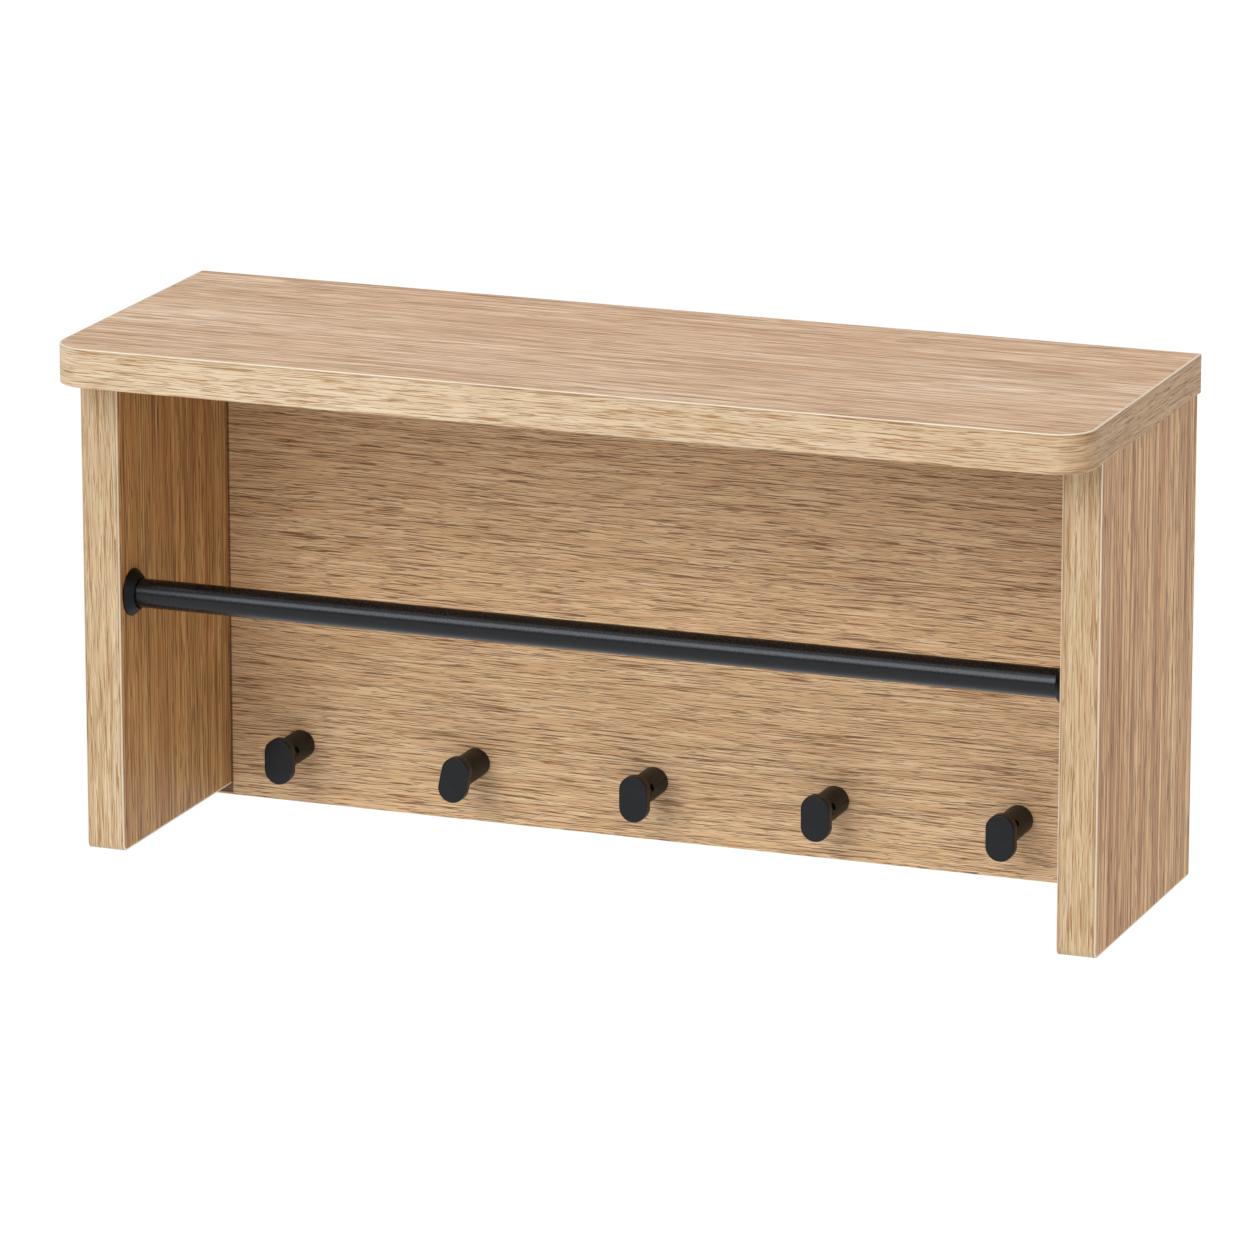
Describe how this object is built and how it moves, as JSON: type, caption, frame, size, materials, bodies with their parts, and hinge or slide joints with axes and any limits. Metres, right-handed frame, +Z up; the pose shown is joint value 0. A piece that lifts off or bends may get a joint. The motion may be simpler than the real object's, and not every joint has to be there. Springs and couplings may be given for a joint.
{
  "type": "wall hook rack",
  "caption": "Wall-hung oak shelf with thick sides, a black hanging rod between them and a row of black peg hooks with oval heads on the back panel.",
  "frame": {"origin": "on the wall plane, midway between the two hanger slots", "axes": "+X along the rack to the right seen from the room, +Y into the wall, +Z up"},
  "size_m": [0.8, 0.28, 0.4075],
  "materials": {
    "oak_veneer_shelf": "satin",
    "oak_veneer_side": "satin",
    "oak_veneer_back": "satin",
    "oak_edge_band": "satin",
    "beech_dowel": "matte",
    "black_powder_rod": "matte",
    "black_powder_socket": "matte",
    "black_powder_hook": "matte",
    "zinc_screw": "satin",
    "zinc_plate": "satin",
    "black_screw": "matte"
  },
  "bodies": {
    "rack": {"top_board": "oak_veneer_shelf", "top_edge_band": "oak_edge_band", "left_side_board": "oak_veneer_side", "left_side_edge_band": "oak_edge_band", "right_side_board": "oak_veneer_side", "right_side_edge_band": "oak_edge_band", "back_panel": "oak_veneer_back", "back_panel_edge_band": "oak_edge_band", "left_side_dowels": "beech_dowel", "right_side_dowels": "beech_dowel", "left_rod_socket": "black_powder_socket", "right_rod_socket": "black_powder_socket", "left_rod_socket_screw": "zinc_screw", "right_rod_socket_screw": "zinc_screw", "left_hanger_plate": "zinc_plate", "right_hanger_plate": "zinc_plate", "left_hanger_screws": "zinc_screw", "right_hanger_screws": "zinc_screw", "hook_1_stem": "black_powder_hook", "hook_1_fixing_screw": "zinc_screw", "hook_1_grub_screw": "black_screw", "hook_2_stem": "black_powder_hook", "hook_2_fixing_screw": "zinc_screw", "hook_2_grub_screw": "black_screw", "hook_3_stem": "black_powder_hook", "hook_3_fixing_screw": "zinc_screw", "hook_3_grub_screw": "black_screw", "hook_4_stem": "black_powder_hook", "hook_4_fixing_screw": "zinc_screw", "hook_4_grub_screw": "black_screw", "hook_5_stem": "black_powder_hook", "hook_5_fixing_screw": "zinc_screw", "hook_5_grub_screw": "black_screw"},
    "rod": {"hanging_rod": "black_powder_rod"},
    "hook_head_1": {"hook_1_head": "black_powder_hook"},
    "hook_head_2": {"hook_2_head": "black_powder_hook"},
    "hook_head_3": {"hook_3_head": "black_powder_hook"},
    "hook_head_4": {"hook_4_head": "black_powder_hook"},
    "hook_head_5": {"hook_5_head": "black_powder_hook"}
  },
  "joints": [
    {"name": "rod_spin", "type": "hinge", "parent": "rack", "child": "rod", "pos_m": [0, -0.206, -0.117], "axis": [1, 0, 0], "continuous": true},
    {"name": "hook_1_swivel", "type": "hinge", "parent": "rack", "child": "hook_head_1", "pos_m": [-0.309, -0.0648, -0.2765], "axis": [0, -1, 0], "continuous": true},
    {"name": "hook_2_swivel", "type": "hinge", "parent": "rack", "child": "hook_head_2", "pos_m": [-0.1635, -0.0648, -0.2765], "axis": [0, -1, 0], "continuous": true},
    {"name": "hook_3_swivel", "type": "hinge", "parent": "rack", "child": "hook_head_3", "pos_m": [-0.018, -0.0648, -0.2765], "axis": [0, -1, 0], "continuous": true},
    {"name": "hook_4_swivel", "type": "hinge", "parent": "rack", "child": "hook_head_4", "pos_m": [0.1275, -0.0648, -0.2765], "axis": [0, -1, 0], "continuous": true},
    {"name": "hook_5_swivel", "type": "hinge", "parent": "rack", "child": "hook_head_5", "pos_m": [0.273, -0.0648, -0.2765], "axis": [0, -1, 0], "continuous": true}
  ]
}
